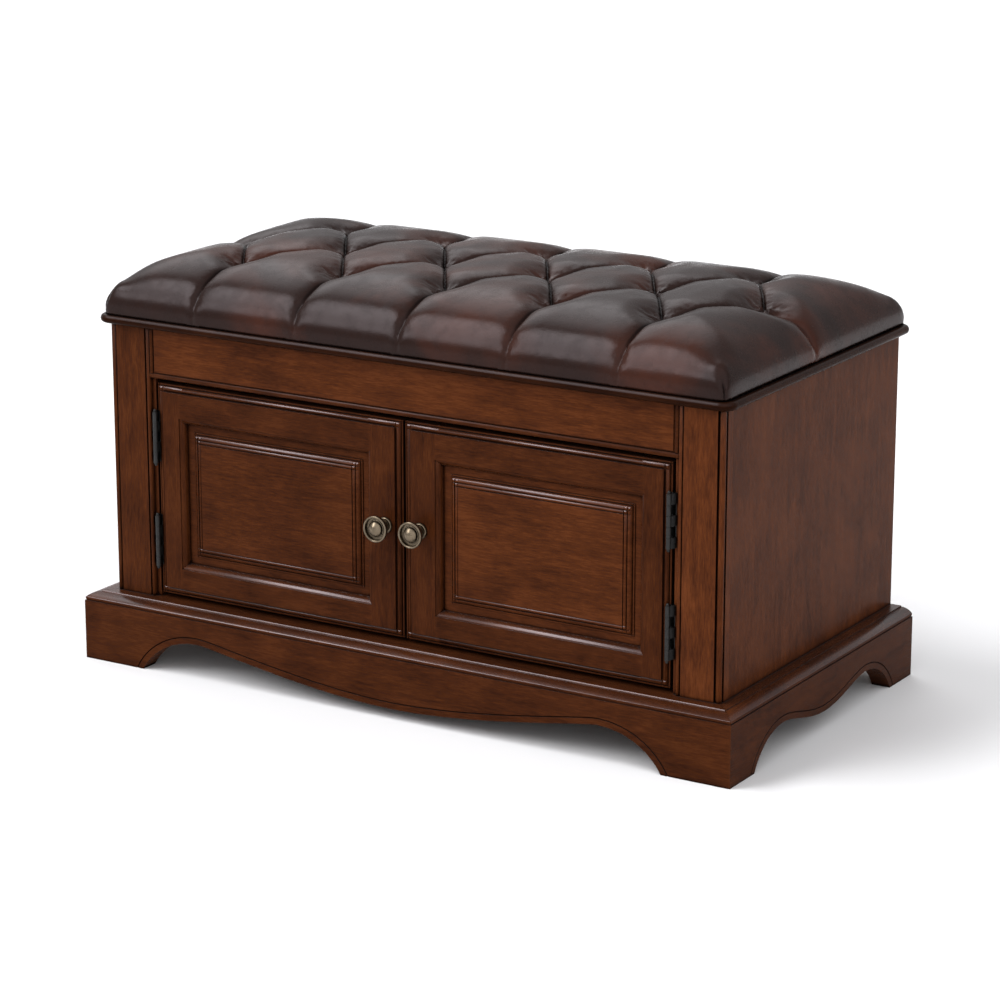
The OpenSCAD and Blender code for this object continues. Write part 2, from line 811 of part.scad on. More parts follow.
module door_panel(side) color(WALNUT) on_side(side) {
    low = panel_low - [tongue_w, tongue_w];
    high = panel_high + [tongue_w, tongue_w];
    mould = tongue_w + panel_margin;
    difference() {
        box([low[0], face_y + field_level, low[1]],
            [high[0], face_y + panel_level + tongue_t - 0.1, high[1]]);
        along_sides(low + [mould, mould], high - [mould, mould], mould + 1) field_cut();
    }
}

// Screw axis of the strike plate, into the back of the lock stile.
module strike_screw_axis() {
    translate([catch_x, door_back_y, rail_stop_z - catch_size[2] / 2]) rotate([90, 0, 0]) children();
}

module strike(side) color(STEEL) on_side(side) {
    z = rail_stop_z - catch_size[2] / 2;
    box([catch_x - 12, door_back_y, z - 7], [catch_x + 12, door_back_y + strike_t, z + 7]);
    strike_screw_axis() cylinder(h = 9, r = hinge_screw_r);
}

// Knob profile, r against the distance from the door: stepped foot, neck, dished ring, dome.
module knob_section() {
    ring_r = knob_d / 2;
    rim_r = 1.15;
    rim_h = knob_reach - 4.6;
    dish_h = rim_h - 2.2;
    dome_r = 9.2;
    difference() {
        union() {
            rect([0, 0], [8.7, 1.3]);
            translate([7.2, 1.5]) circle(r = 1.1, $fn = 20);
            rect([0, 1], [6.5, 3.2]);
            rect([0, 3], [4.6, dish_h - 2]);
            polygon([[0, dish_h - 4], [4.6, dish_h - 4], [ring_r - 1.8, dish_h - 0.9],
                [ring_r - 1.8, dish_h], [0, dish_h]]);
            rect([ring_r - 2.1, dish_h - 1], [ring_r - 0.4, rim_h]);
            translate([ring_r - rim_r, rim_h]) circle(r = rim_r, $fn = 20);
            translate([9.3, dish_h]) circle(r = 0.7, $fn = 16);
            intersection() {
                translate([0, knob_reach - dome_r]) circle(r = dome_r, $fn = 40);
                rect([0, dish_h - 1], [7.9, knob_reach + 1]);
            }
        }
        rect([-ring_r - 20, -1], [0, 2 * knob_reach]);
        rect([-1, -1], [knob_screw_r, 13]);
        translate([8.8, 9]) circle(r = 4.4, $fn = 32);
    }
}

module knob(side) color(PEWTER) on_side(side)
    translate([knob_x, face_y, knob_z]) rotate([90, 0, 0]) rotate_extrude() knob_section();

module knob_screw(side) color(STEEL) on_side(side)
    translate([knob_x, door_back_y, knob_z]) rotate([90, 0, 0]) {
        cylinder(h = door_t + 12, r = knob_screw_r);
        translate([0, 0, -2.2]) cylinder(h = 2.2, r = 4);
    }

// ---------- one line per node ----------

plinth_front();
plinth_side(-1);  // plinth_left
plinth_side(1);  // plinth_right
plinth_back();
corner_blocks();
base_front();
base_side(-1);  // base_left
base_side(1);  // base_right
base_screws();
side_panel(-1);  // side_left
side_panel(1);  // side_right
bottom_board();
back_panel();
pilaster(-1);  // pilaster_left
pilaster(1);  // pilaster_right
fascia();
fascia_bead();
door_stop_rail();
stretcher(face_y + frame_t);  // stretcher_front
stretcher(back_y - back_t - stretcher_w);  // stretcher_back
shelf();
shelf_pins();
seat_board();
seat_deck();
seat_screws();
cushion_foam();
cushion_cover();
tuft_ties();
hinge_case_leaves();
hinge_pins();
hinge_case_screws();
catches();
catch_screws();
hinge_stile(-1);  // left_hinge_stile
lock_stile(-1);  // left_lock_stile
rail(-1, true);  // left_top_rail
rail(-1, false);  // left_bottom_rail
door_panel(-1);  // left_panel
door_hinge_leaves(-1);  // left_hinge_leaves
door_hinge_screws(-1);  // left_hinge_screws
knob(-1);  // left_knob
knob_screw(-1);  // left_knob_screw
strike(-1);  // left_strike
hinge_stile(1);  // right_hinge_stile
lock_stile(1);  // right_lock_stile
rail(1, true);  // right_top_rail
rail(1, false);  // right_bottom_rail
door_panel(1);  // right_panel
door_hinge_leaves(1);  // right_hinge_leaves
door_hinge_screws(1);  // right_hinge_screws
knob(1);  // right_knob
knob_screw(1);  // right_knob_screw
strike(1);  // right_strike
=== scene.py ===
"""Looks for the two-door storage bench: stained wood, tufted leather, dark hinges and ring knobs."""

import math

import bmesh
import bpy
import numpy as np
from mathutils import Euler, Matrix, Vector
from mathutils.geometry import delaunay_2d_cdt


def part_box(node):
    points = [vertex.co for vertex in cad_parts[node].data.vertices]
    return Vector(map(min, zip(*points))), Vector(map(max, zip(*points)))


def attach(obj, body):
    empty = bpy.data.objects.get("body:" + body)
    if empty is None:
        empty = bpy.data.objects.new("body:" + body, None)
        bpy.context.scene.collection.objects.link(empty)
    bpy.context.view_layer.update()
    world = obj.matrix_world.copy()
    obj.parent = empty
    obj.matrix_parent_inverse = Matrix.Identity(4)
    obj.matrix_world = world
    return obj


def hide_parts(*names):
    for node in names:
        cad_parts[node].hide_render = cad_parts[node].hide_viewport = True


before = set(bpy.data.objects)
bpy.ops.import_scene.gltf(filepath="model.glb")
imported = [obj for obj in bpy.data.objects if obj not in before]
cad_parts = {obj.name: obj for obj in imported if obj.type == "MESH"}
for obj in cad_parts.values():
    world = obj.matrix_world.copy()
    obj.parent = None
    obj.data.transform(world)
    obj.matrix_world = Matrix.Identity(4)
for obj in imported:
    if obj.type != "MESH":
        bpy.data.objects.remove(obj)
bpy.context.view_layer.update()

MM = 0.001


# ---------- node helpers ----------

class Graph:
    """Short ways to add nodes to one shader tree."""

    def __init__(self, tree):
        self.tree = tree

    def add(self, kind, **settings):
        node = self.tree.nodes.new(kind)
        for key, value in settings.items():
            setattr(node, key, value)
        return node

    def put(self, socket, value):
        """Links value to a socket if it is an output, and otherwise sets it."""
        if isinstance(value, bpy.types.NodeSocket):
            self.tree.links.new(value, socket)
        else:
            socket.default_value = value

    def math(self, operation, a, b, clamp=False):
        node = self.add("ShaderNodeMath", operation=operation, use_clamp=clamp)
        self.put(node.inputs[0], a)
        self.put(node.inputs[1], b)
        return node.outputs[0]

    def scaled(self, value, amount):
        return self.math("MULTIPLY", value, amount)

    def weighted(self, *parts):
        """The sum of values, each times its weight."""
        total = self.scaled(*parts[0])
        for value, weight in parts[1:]:
            total = self.math("ADD", total, self.scaled(value, weight))
        return total

    def remap(self, value, low, high, to_low=0.0, to_high=1.0):
        """Value eased from low..high onto to_low..to_high, and held inside that range."""
        node = self.add("ShaderNodeMapRange", interpolation_type="SMOOTHSTEP")
        for socket, number in zip(node.inputs[:5], (value, low, high, to_low, to_high)):
            self.put(socket, number)
        return node.outputs[0]

    def mix(self, factor, a, b, blend="MIX"):
        """Mixes two colours, which are inputs 6 and 7 and output 2 of a Mix node."""
        node = self.add("ShaderNodeMix", data_type="RGBA", blend_type=blend)
        self.put(node.inputs[0], factor)
        self.put(node.inputs[6], a)
        self.put(node.inputs[7], b)
        return node.outputs[2]


class Surface(Graph):
    """One new material and its node tree."""

    def __init__(self, name):
        self.material = bpy.data.materials.new(name)
        self.material.use_nodes = True
        super().__init__(self.material.node_tree)
        place = self.add("ShaderNodeTexCoord")
        self.point = place.outputs["Object"]
        self.normal = place.outputs["Normal"]

    def upward_part(self):
        """The Z part of the surface's own normal: 1 where it faces up."""
        node = self.add("ShaderNodeSeparateXYZ")
        self.put(node.inputs[0], self.normal)
        return node.outputs["Z"]

    def stretched(self, scale, offset=(0, 0, 0)):
        node = self.add("ShaderNodeMapping")
        self.put(node.inputs["Vector"], self.point)
        self.put(node.inputs["Location"], offset)
        self.put(node.inputs["Scale"], scale)
        return node.outputs[0]

    def noise(self, point, scale, detail=3.0, roughness=0.5, distortion=0.0):
        node = self.add("ShaderNodeTexNoise")
        self.put(node.inputs["Vector"], point)
        self.put(node.inputs["Scale"], scale)
        self.put(node.inputs["Detail"], detail)
        self.put(node.inputs["Roughness"], roughness)
        self.put(node.inputs["Distortion"], distortion)
        return node.outputs[0]

    def pebbles(self, scale):
        node = self.add("ShaderNodeTexVoronoi")
        self.put(node.inputs["Vector"], self.point)
        self.put(node.inputs["Scale"], scale)
        return node.outputs["Distance"]

    def shelter(self, distance, inside=False):
        """1 in the open and lower in a corner, or with inside at a sharp edge."""
        node = self.add("ShaderNodeAmbientOcclusion", inside=inside, samples=8)
        self.put(node.inputs["Distance"], distance)
        return node.outputs["AO"]

    def bump(self, height, distance, strength):
        node = self.add("ShaderNodeBump")
        self.put(node.inputs["Height"], height)
        self.put(node.inputs["Distance"], distance)
        self.put(node.inputs["Strength"], strength)
        return node.outputs[0]

    def finish(self, **inputs):
        """Feeds the shader's inputs, named with _ for each space, and returns the material."""
        shader = self.tree.nodes["Principled BSDF"]
        for name, value in inputs.items():
            self.put(shader.inputs[name.replace("_", " ")], value)
        return self.material


# ---------- materials ----------

WOOD_DARK = (0.026, 0.0074, 0.0027, 1)
WOOD_MID = (0.046, 0.0128, 0.0041, 1)
WOOD_WARM = (0.069, 0.0198, 0.0060, 1)
# Near-black colour for the wood's glaze and for the painted shade in its corners and recesses.
WOOD_GLAZE_AND_SHADE = (0.0026, 0.0011, 0.0007, 1)
ALONG = {"x": (1, 9, 9), "y": (9, 1, 9), "z": (9, 9, 1)}
GRAIN_STEP = (1.37, 2.11, 0.73)
GLAZE_AND_SHADE_REACH = 6 * MM
WEAR_REACH = 2 * MM
FACE_SHINE = 0.025
LEDGE_SHINE = 0.6

LEATHER_DARK = (0.0170, 0.0084, 0.0066, 1)
LEATHER_WARM = (0.047, 0.0150, 0.0088, 1)
LEATHER_MOTTLE = (0.0085, 0.0050, 0.0042, 1)
# Near-black painted shade for the leather's folds, creases and pits.
LEATHER_CREASE_SHADE = (0.0012, 0.0008, 0.0007, 1)
CREASE_SHADE_REACH = 11 * MM
LEATHER_SHINE = 0.12

WARM_SHINE = (1.0, 0.89, 0.92, 1)
TARNISH_REACH = 4 * MM


def wood(name, grain, seed, tone, ledge_shine):
    """Satin lacquered wood: grain along an axis, dark glaze and painted shade in the corners, worn sharp
    edges.
    """
    g = Surface(name)
    offset = [seed * step for step in GRAIN_STEP]
    along = g.stretched(ALONG[grain], offset)
    clouds = g.noise(g.stretched((1, 1, 1), offset), scale=16, detail=2, distortion=0.4)
    streaks = g.noise(along, scale=14, detail=4, roughness=0.62, distortion=0.5)
    fibres = g.noise(along, scale=85, roughness=0.65)
    flecks = g.remap(g.noise(along, scale=150, detail=2), 0.60, 0.74)

    figure = g.weighted((clouds, 0.28), (streaks, 0.30), (fibres, 0.42))
    color = g.mix(g.remap(figure, 0.36, 0.52), WOOD_DARK, WOOD_MID)
    color = g.mix(g.remap(figure, 0.47, 0.64), color, WOOD_WARM)
    color = g.mix(g.scaled(flecks, 0.5), color, WOOD_DARK)
    # The tone is the stain's lightness, and for some nodes also painted light or painted shade.
    color = g.mix(1.0, color, (tone, tone, tone, 1), "MULTIPLY")

    # Painted shade, partly a real dark glaze: corners, recesses and gaps darken towards near-black.
    corner = g.remap(g.shelter(GLAZE_AND_SHADE_REACH), 0.42, 0.86, 1.0, 0.0)
    color = g.mix(g.scaled(corner, 0.96), color, WOOD_GLAZE_AND_SHADE)
    worn = g.remap(g.shelter(WEAR_REACH, inside=True), 0.35, 0.62, 1.0, 0.0)
    color = g.mix(g.scaled(worn, 0.22), color, WOOD_WARM)

    ledge = g.remap(g.upward_part(), 0.12, 0.45)
    shine = g.math("ADD", FACE_SHINE, g.scaled(ledge, ledge_shine))
    satin = g.remap(figure, 0.3, 0.7, 0.30, 0.24)
    roughness = g.math("ADD", satin, g.scaled(corner, 0.35))
    pores = g.math("SUBTRACT", fibres, g.scaled(flecks, 0.6))
    return g.finish(Base_Color=color, Roughness=roughness, Specular_IOR_Level=shine,
                    Specular_Tint=WARM_SHINE, Normal=g.bump(pores, 0.04 * MM, 0.45))


def plain_wood(name, light, dark, grain):
    """Bare inner wood with a simple grain along an axis."""
    g = Surface(name)
    point = g.stretched(ALONG[grain])
    bands = g.noise(point, scale=3, roughness=0.6)
    lines = g.noise(point, scale=30, roughness=0.6)
    figure = g.weighted((bands, 0.6), (lines, 0.4))
    color = g.mix(g.remap(figure, 0.35, 0.65), dark, light)
    return g.finish(Base_Color=color, Roughness=g.remap(figure, 0.3, 0.7, 0.62, 0.5),
                    Specular_IOR_Level=0.3, Normal=g.bump(figure, 0.1 * MM, 0.4))


def metal(name, color, dark, roughness, metallic=1.0, tarnish=0.6):
    """Metal with dark tarnish in its hollows and in faint patches."""
    g = Surface(name)
    patches = g.noise(g.point, scale=90, detail=4, roughness=0.6)
    hollow = g.remap(g.shelter(TARNISH_REACH), 0.25, 0.85, 1.0, 0.0)
    faint = g.remap(patches, 0.45, 0.75, 0.0, 0.35)
    cover = g.math("ADD", g.scaled(hollow, tarnish), faint, clamp=True)
    grit = g.noise(g.point, scale=1260, roughness=0.6)
    return g.finish(Base_Color=g.mix(cover, color, dark), Metallic=metallic,
                    Roughness=g.remap(patches, 0.3, 0.7, roughness, roughness + 0.14),
                    Normal=g.bump(grit, 0.02 * MM, 0.4))


def leather(name):
    """Two-tone pull-up leather: espresso with warm rubbed patches, painted shade in its folds and a fine
    pebble grain.
    """
    g = Surface(name)
    patches = g.noise(g.point, scale=7, roughness=0.55, distortion=0.4)
    mottle = g.noise(g.point, scale=70, roughness=0.6)
    color = g.mix(g.remap(patches, 0.42, 0.70), LEATHER_DARK, LEATHER_WARM)
    color = g.mix(g.remap(mottle, 0.4, 0.8, 0.0, 0.35), color, LEATHER_MOTTLE)

    # Painted shade: the folds, creases and pits darken towards near-black.
    fold = g.remap(g.shelter(CREASE_SHADE_REACH), 0.45, 0.92, 1.0, 0.0)
    color = g.mix(g.scaled(fold, 0.95), color, LEATHER_CREASE_SHADE)
    shine = g.scaled(g.math("SUBTRACT", 1.0, g.scaled(fold, 0.9)), LEATHER_SHINE)

    wrinkles = g.noise(g.point, scale=160, detail=5, roughness=0.62)
    grain = g.weighted((g.pebbles(560), 0.5), (wrinkles, 1.0))
    return g.finish(Base_Color=color, Roughness=g.remap(mottle, 0.3, 0.7, 0.21, 0.30),
                    Specular_IOR_Level=shine, Specular_Tint=WARM_SHINE,
                    Normal=g.bump(grain, 0.16 * MM, 0.45))


def padding(name, color):
    """Open-cell foam and tie cord: matt, with fine darker spots."""
    g = Surface(name)
    shaded = [part * 0.8 for part in color[:3]] + [1]
    spots = g.noise(g.point, scale=500, roughness=0.7)
    return g.finish(Base_Color=g.mix(g.remap(spots, 0.3, 0.7), shaded, color), Roughness=0.9,
                    Normal=g.bump(spots, 0.4 * MM, 0.5))


# ---------- the CAD nodes that stay ----------

# The wooden nodes, by the axis that their grain follows.
WOODEN = {
    "x": ["plinth_front", "plinth_back", "base_front", "fascia", "fascia_bead", "seat_board", "shelf",
          "bottom_board", "door_stop_rail", "stretcher_front", "stretcher_back", "back_panel"],
    "y": ["plinth_left", "plinth_right", "base_left", "base_right"],
    "z": ["side_left", "side_right", "pilaster_left", "pilaster_right"],
}
DOORS = ("left_", "right_")
for door in DOORS:
    WOODEN["x"] += [door + "top_rail", door + "bottom_rail", door + "panel"]
    WOODEN["z"] += [door + "hinge_stile", door + "lock_stile"]

# How light a node's colour is, and how much its upward faces shine, where that isn't the usual.
# Partly the stain, partly painted light: the seat board darkened as painted shade, the right pilaster and
# panel lighter.
TONES_WITH_PAINTED_LIGHT = {"seat_board": 0.35, "side_left": 1.4, "side_right": 1.4, "shelf": 0.8, "fascia": 1.45,
         "pilaster_left": 1.2, "pilaster_right": 1.7, "left_panel": 1.15, "right_panel": 1.4}
SHINES = {"seat_board": 0.09, "fascia_bead": 0.1}

WELD_GAP = 0.002 * MM
FLAT_ANGLE = math.radians(0.3)
SHARP_ANGLE = math.radians(32)
EDGE_ROUND = 0.5 * MM


def soften(obj):
    """Joins the import's split vertices, merges flat faces and rounds the sharp edges."""
    weld = obj.modifiers.new("weld", "WELD")
    weld.merge_threshold = WELD_GAP
    flat = obj.modifiers.new("merge_flats", "DECIMATE")
    flat.decimate_type = "DISSOLVE"
    flat.angle_limit = FLAT_ANGLE
    bevel = obj.modifiers.new("round_edges", "BEVEL")
    bevel.width = EDGE_ROUND
    bevel.segments = 2
    bevel.limit_method = "ANGLE"
    bevel.angle_limit = SHARP_ANGLE
    bevel.harden_normals = True


def set_material(node, material):
    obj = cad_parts[node]
    obj.data.materials.clear()
    obj.data.materials.append(material)
    return obj


def dress_wood():
    """Gives each wooden node its own stretch of grain, and rounds its edges."""
    pieces = [(name, grain) for grain, names in WOODEN.items() for name in names]
    for seed, (name, grain) in enumerate(pieces, start=1):
        tone = TONES_WITH_PAINTED_LIGHT.get(name, 1.0)
        ledge_shine = SHINES.get(name, LEDGE_SHINE)
        soften(set_material(name, wood("wood_" + name, grain, seed, tone, ledge_shine)))


def dress_hardware():
    """Gives the metal, plywood and padding nodes their materials."""
    steel = metal("steel", (0.52, 0.52, 0.54, 1), (0.25, 0.25, 0.26, 1), 0.32, tarnish=0.3)
    bronze = metal("dark_bronze", (0.007, 0.0065, 0.006, 1), (0.003, 0.003, 0.0025, 1), 0.45, metallic=0.2)
    antique = metal("antique_brass", (0.19, 0.150, 0.104, 1), (0.012, 0.009, 0.006, 1), 0.26, tarnish=0.97)
    plywood = plain_wood("plywood", (0.48, 0.33, 0.19, 1), (0.30, 0.19, 0.10, 1), "x")
    foam = padding("foam", (0.78, 0.70, 0.46, 1))
    looks = {
        plywood: ["corner_blocks", "seat_deck"],
        foam: ["cushion_foam", "tuft_ties"],
        steel: ["base_screws", "seat_screws", "catch_screws", "shelf_pins"],
        bronze: ["catches", "hinge_case_leaves", "hinge_pins", "hinge_case_screws"],
        antique: [],
    }
    for door in DOORS:
        looks[bronze] += [door + "hinge_leaves", door + "hinge_screws"]
        looks[steel] += [door + "knob_screw", door + "strike"]
        looks[antique] += [door + "knob"]
    for material, names in looks.items():
        for name in names:
            set_material(name, material)


# ---------- the tufted cushion, in millimetres ----------

COVER = np.array(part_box("cushion_cover")) / MM
TIES = np.array(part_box("tuft_ties")) / MM

# The tufts: two rows of FRONT_TUFTS with a row of one more between them.
FRONT_TUFTS = 5
MIDDLE_TUFTS = FRONT_TUFTS + 1
TOGGLE_R = 5.0
TUFT_PITCH = (TIES[1][0] - TIES[0][0] - 2 * TOGGLE_R) / (MIDDLE_TUFTS - 1)
ROW_PITCH = (TIES[1][1] - TIES[0][1] - 2 * TOGGLE_R) / 2
ROW_MID = (TIES[0][1] + TIES[1][1]) / 2

# The body: its outline in plan, an upright wall and a dome that rises from it.
SIDE_GAP = 0.8
FOOT_GAP = 0.4
CROWN_DROP = 8.0
CORNER_R = 11.0
SEAT_MID = COVER.mean(axis=0)[:2]
SEAT_HALF = (COVER[1] - COVER[0])[:2] / 2 - SIDE_GAP
FOOT_Z = COVER[0][2] + FOOT_GAP
WALL_H = 16.5
WALL_TOP = FOOT_Z + WALL_H
CROWN_Z = COVER[1][2] - CROWN_DROP
DOME_RUN = 116.0
DOME_FULLNESS = 1.8
DOME_EASE = 2.2
BACK_SOFTNESS = 0.63
END_STEEPNESS = 1.3
HIP_SHARPNESS = 1.8
SIDE_BULGE = 2.8
BULGE_H = WALL_H + 9
BULGE_INSIDE = 7
UNDERSIDE_SIZE = 0.97

# The rim's roll: passes of smoothing, and how strong each is by the distance inside the outline.
ROLL_PASSES = 32
ROLL_INSIDE = (-WALL_H, -WALL_H + 3, 8, 20)
ROLL_SHARE = (0, 0.5, 0.5, 0.08)
CORNER_ROLL = (30, 60)
CORNER_ROLL_SHARE = (0.5, 0)

# The folds: their shape across, how sharply they merge, how far down the wall they run, and how much
# more they sink than push in, by the distance inside the outline.
FOLD_ROUND = 0.72
FOLD_EASE = 2.2
FOLD_MERGE = 4
FOLD_OVERRUN = WALL_H - 1
PINCH_START = 8
CREASE_HALF = 1.3
SINK_INSIDE = (2, 30)
SINK_WEIGHT = (1, 3)

# The pits: a wide dip, the last pull of the tie, and small puckers round it.
TIE_COVER = 1.0
PIT_FLOOR = TIES[1][2] + TIE_COVER
FUNNEL_R = 46.0
FUNNEL_DEPTH = 13.5
FUNNEL_EASE = 1.5
PULL_R = 9.5
PUCKER_COUNTS = (6, 9, 13)
PUCKER_STRENGTH = (0.6, 1.0)
PUCKER_TURN = (0, 6.28)
PUCKER_DEPTH = 1.15
PUCKER_R = 5.0
PUCKER_FADE = 10.0

# The mesh's points in plan: their spacings, and how near a kept point each kind may come.
FOLD_STEP = 2.6
FOLD_SIDES = (1.2, 2.6, 4.6, 7.2)
RING_STEP = 3.4
RING_INSETS = (-WALL_H, -13, -9.5, -6.2, -3.4, -1.2, 0.4, 1.8, 3.4, 5.4, 8, 11.2, 15)
PIT_RINGS = (2, 4, 6.3, 9, 12, 15.5, 19.5, 24)
FIRST_RING_POINTS = 14
MORE_POINTS_PER_RING = 6
TRIANGLE_HEIGHT = 0.866
FILL_PITCH = 3.8
FILL_ROW = FILL_PITCH * TRIANGLE_HEIGHT
SEARCH_CELL = 4
CLEARANCE = {"fold": 0.5, "rim": 1.3, "beside_fold": 1.0, "pit": 1.1, "fill": 2.2}

random = np.random.default_rng(7)

# Along a fold, from its start at t = 0 to its end at t = 1: how deep it is, how far the leather on
# each side is drawn down, and how deep the sharp crease at its bottom is.
BETWEEN_PITS = {"t": (0, 0.2, 0.5, 0.8, 1), "depth": (10, 9.6, 8.4, 9.6, 10),
                "reach": (48, 52, 54, 52, 48), "crease": (3.4, 3.2, 3, 3.2, 3.4)}
PIT_TO_EDGE = {"t": (0, 0.15, 0.35, 0.6, 0.78, 0.86, 1), "depth": (10, 10, 8.6, 6.4, 3.4, 1.0, 0.2),
               "reach": (48, 46, 40, 30, 20, 11, 6), "crease": (3.2, 3, 2.6, 2.2, 1.4, 0.8, 0.3)}
CORNER_PINCH = {"t": (0, 0.35, 0.6, 0.8, 1), "depth": (0, 0.4, 1.6, 1.4, 0.6),
                "reach": (6, 8, 8, 7, 6), "crease": (0, 0.3, 1.8, 1.5, 0.6)}


def tuft_row(count, y):
    """Evenly spaced pits, centred along the seat."""
    return [np.array(((i - (count - 1) / 2) * TUFT_PITCH, y)) for i in range(count)]


def tuft_layout():
    """Plan positions of the pits, and the folds as (start, end, table)."""
    front = tuft_row(FRONT_TUFTS, ROW_MID - ROW_PITCH)
    middle = tuft_row(MIDDLE_TUFTS, ROW_MID)
    back = tuft_row(FRONT_TUFTS, ROW_MID + ROW_PITCH)
    folds = []
    for row, side in ((front, -1), (back, 1)):
        for i, pit in enumerate(row):
            folds += [(pit, middle[i], BETWEEN_PITS), (pit, middle[i + 1], BETWEEN_PITS)]
            end = (pit[0], SEAT_MID[1] + side * (SEAT_HALF[1] + FOLD_OVERRUN))
            folds.append((pit, np.array(end), PIT_TO_EDGE))
    for pit, side in ((middle[0], -1), (middle[-1], 1)):
        end = (side * (SEAT_HALF[0] + FOLD_OVERRUN), pit[1])
        folds.append((pit, np.array(end), PIT_TO_EDGE))
    for sides in ((-1, -1), (1, -1), (1, 1), (-1, 1)):
        core = SEAT_MID + (SEAT_HALF - CORNER_R) * sides
        outwards = np.array(sides) / math.sqrt(2)
        end = core + (CORNER_R + FOLD_OVERRUN) * outwards
        folds.append((core - PINCH_START * outwards, end, CORNER_PINCH))
    return front + middle + back, folds


PITS, FOLDS = tuft_layout()


def inside_outline(points):
    """How far inside the cushion's outline each plan point is; negative outside it."""
    over = np.abs(points - SEAT_MID) - (SEAT_HALF - CORNER_R)
    outside = np.linalg.norm(np.maximum(over, 0), axis=1)
    return CORNER_R - outside - np.minimum(over.max(axis=1), 0)


def circle(centre, radius, count):
    angle = np.arange(count) * 2 * math.pi / count
    return centre + radius * np.stack((np.cos(angle), np.sin(angle)), axis=1)


def outline_ring(inset):
    """Evenly spaced points round the outline, moved inwards by an inset."""
    radius = max(CORNER_R - inset, 0.01)
    turns = np.arange(4)[:, None] * math.pi / 2 + np.linspace(0, math.pi / 2, 9)
    signs = np.array([(1, 1), (-1, 1), (-1, -1), (1, -1)])[:, None, :]
    arcs = np.stack((np.cos(turns), np.sin(turns)), axis=2) * radius
    path = (SEAT_MID + signs * (SEAT_HALF - inset - radius) + arcs).reshape(-1, 2)
    path = np.vstack((path, path[:1]))
    run = np.concatenate(([0], np.cumsum(np.linalg.norm(np.diff(path, axis=0), axis=1))))
    count = int(run[-1] / RING_STEP)
    at = np.arange(count) * run[-1] / count
    return np.stack((np.interp(at, run, path[:, 0]), np.interp(at, run, path[:, 1])), axis=1)


def fold_line(start, end, aside):
    """Points along a fold, moved aside from it."""
    run = end - start
    length = np.linalg.norm(run)
    normal = np.array((-run[1], run[0])) / length
    t = np.linspace(0, 1, int(length / FOLD_STEP) + 1)[:, None]
    return start + t * run + aside * normal


def fill_grid():
    """Rows of near-equal triangles over the whole seat."""
    x, y = np.meshgrid(np.arange(-SEAT_HALF[0], SEAT_HALF[0], FILL_PITCH),
                       np.arange(-SEAT_HALF[1], SEAT_HALF[1], FILL_ROW))
    x[1::2] += FILL_PITCH / 2
    return np.stack((x.ravel(), y.ravel()), axis=1) + SEAT_MID


def point_groups():
    """Plan points with their clearance, those that matter most first."""
    for start, end, _ in FOLDS:
        yield fold_line(start, end, 0), CLEARANCE["fold"]
    for inset in RING_INSETS:
        yield outline_ring(inset), CLEARANCE["rim"]
    for start, end, _ in FOLDS:
        for aside in FOLD_SIDES:
            for side in (-1, 1):
                yield fold_line(start, end, side * aside), CLEARANCE["beside_fold"]
    for pit in PITS:
        for k, radius in enumerate(PIT_RINGS):
            count = FIRST_RING_POINTS + MORE_POINTS_PER_RING * k
            yield circle(pit, radius, count), CLEARANCE["pit"]
    yield fill_grid(), CLEARANCE["fill"]


def mesh_points():
    """The plan points that keep clear of every point kept before them."""
    kept = []
    cells = {}
    for points, clearance in point_groups():
        for px, py in points[inside_outline(points) > -WALL_H - 0.01]:
            i, j = int(px // SEARCH_CELL), int(py // SEARCH_CELL)
            near = (q for a in (i - 1, i, i + 1) for b in (j - 1, j, j + 1) for q in cells.get((a, b), ()))
            if all((px - qx) ** 2 + (py - qy) ** 2 > clearance**2 for qx, qy in near):
                kept.append((px, py))
                cells.setdefault((i, j), []).append((px, py))
    return kept


def dome(run):
    """Height of the crowned top, from 0 at its edge to 1 on the crown."""
    s = np.clip(run / DOME_RUN, 0, 1)
    return (1 - (1 - s) ** DOME_EASE) ** (1 / DOME_FULLNESS)


def plump_surface(points):
    """The cushion before it is tufted: a low upright wall and a crowned top."""
    inside = inside_outline(points)
    over = np.maximum(SEAT_HALF - np.abs(points - SEAT_MID), 0)
    over[:, 0] *= END_STEEPNESS
    over[:, 1] *= np.where(points[:, 1] > SEAT_MID[1], BACK_SOFTNESS, 1)
    across, along = dome(np.maximum(over, 0.01)).T
    hip = (across**-HIP_SHARPNESS + along**-HIP_SHARPNESS - 1) ** (-1 / HIP_SHARPNESS)
    height = np.minimum(dome(np.maximum(inside, 0)), hip)
    z = np.where(inside < 0, WALL_TOP + inside, WALL_TOP + (CROWN_Z - WALL_TOP) * np.maximum(height, 0))

    core = SEAT_MID + np.clip(points - SEAT_MID, -(SEAT_HALF - CORNER_R), SEAT_HALF - CORNER_R)
    outwards = (points - core) / np.maximum(np.linalg.norm(points - core, axis=1), 1e-6)[:, None]
    plan = np.where((inside < 0)[:, None], core + outwards * CORNER_R, points)
    bulge = np.sin(np.clip((z - FOOT_Z) / BULGE_H, 0, 1) * math.pi) * SIDE_BULGE
    return np.column_stack((plan + outwards * (bulge * (inside < BULGE_INSIDE))[:, None], z))


